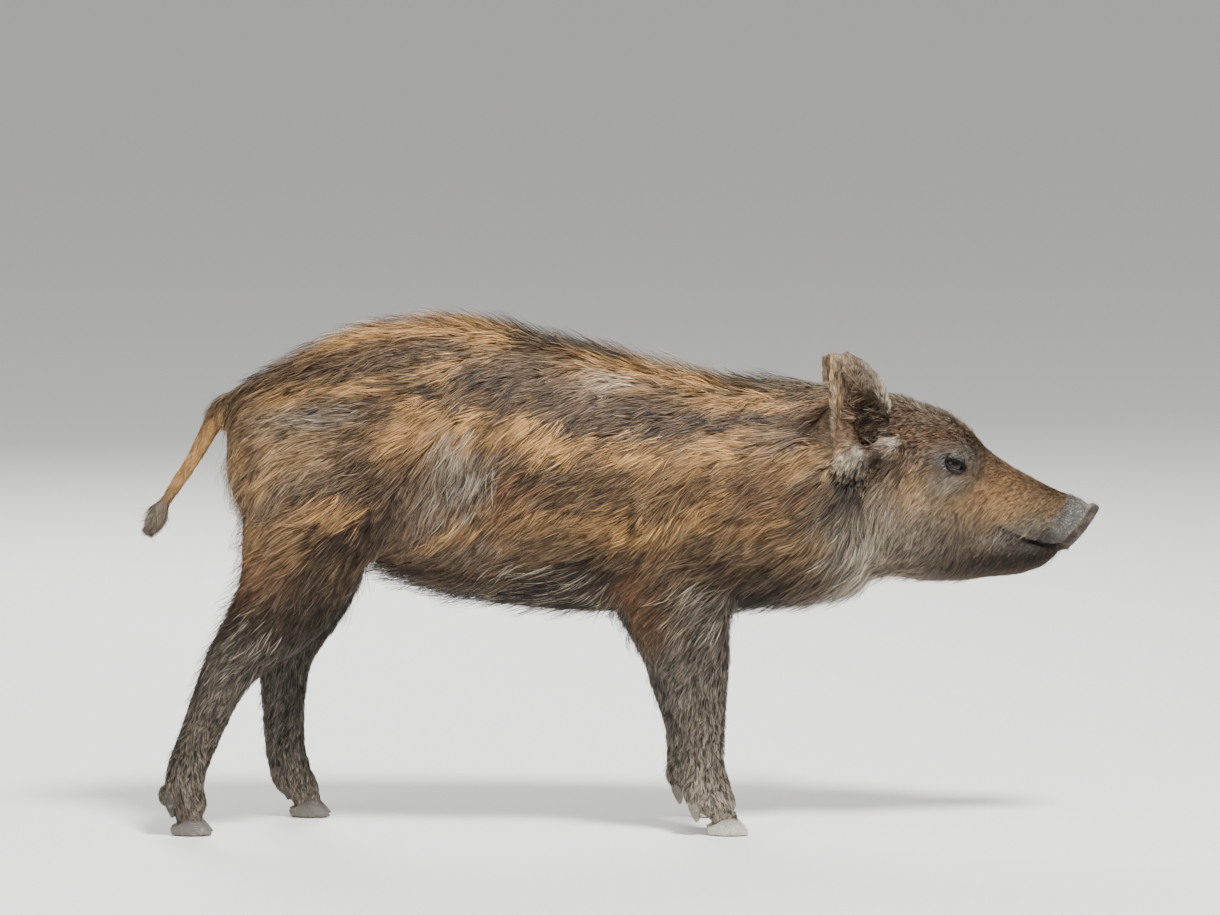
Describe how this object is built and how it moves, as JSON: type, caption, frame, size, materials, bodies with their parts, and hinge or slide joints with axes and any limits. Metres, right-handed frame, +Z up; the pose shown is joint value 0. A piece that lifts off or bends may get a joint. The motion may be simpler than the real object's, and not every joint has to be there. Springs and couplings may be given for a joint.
{
  "type": "young wild boar",
  "caption": "Young wild boar with a fading striped coat, standing on all four feet with its head held level: a still, life-size animal model for display.",
  "frame": {"origin": "on the floor plane, under the middle of the whole box", "axes": "+X forwards to the snout, +Y to the animal's left, +Z up"},
  "size_m": [0.8134, 0.1707, 0.4385],
  "materials": {
    "coat": "coarse brown hair with fading tan stripes",
    "face_coat": "short brown hair, greyer on the cheek and lips",
    "leg_coat": "short dark hair, dusty",
    "ear_coat": "short pale brown hair over thin skin",
    "tail_coat": "orange tan hair",
    "tail_tuft": "dark brush of longer hair",
    "snout_skin": "bare, finely wrinkled dark skin",
    "eye": "wet dark brown",
    "hoof": "dull pale horn with dust"
  },
  "bodies": {
    "root": {"dewclaw_foreleg_left_a": "hoof", "dewclaw_foreleg_left_b": "hoof", "dewclaw_foreleg_right_a": "hoof", "dewclaw_foreleg_right_b": "hoof", "dewclaw_hind_leg_left_a": "hoof", "dewclaw_hind_leg_left_b": "hoof", "dewclaw_hind_leg_right_a": "hoof", "dewclaw_hind_leg_right_b": "hoof", "ear_left": "ear_coat", "ear_right": "ear_coat", "eye_left": "eye", "eye_right": "eye", "foreleg_left": "leg_coat", "foreleg_right": "leg_coat", "head": "face_coat", "hind_leg_left": "leg_coat", "hind_leg_right": "leg_coat", "hoof_foreleg_left_a": "hoof", "hoof_foreleg_left_b": "hoof", "hoof_foreleg_right_a": "hoof", "hoof_foreleg_right_b": "hoof", "hoof_hind_leg_left_a": "hoof", "hoof_hind_leg_left_b": "hoof", "hoof_hind_leg_right_a": "hoof", "hoof_hind_leg_right_b": "hoof", "lower_jaw": "face_coat", "neck": "coat", "snout_disc": "snout_skin", "tail": "tail_coat", "tail_tuft": "tail_tuft", "trunk": "coat"}
  },
  "joints": []
}
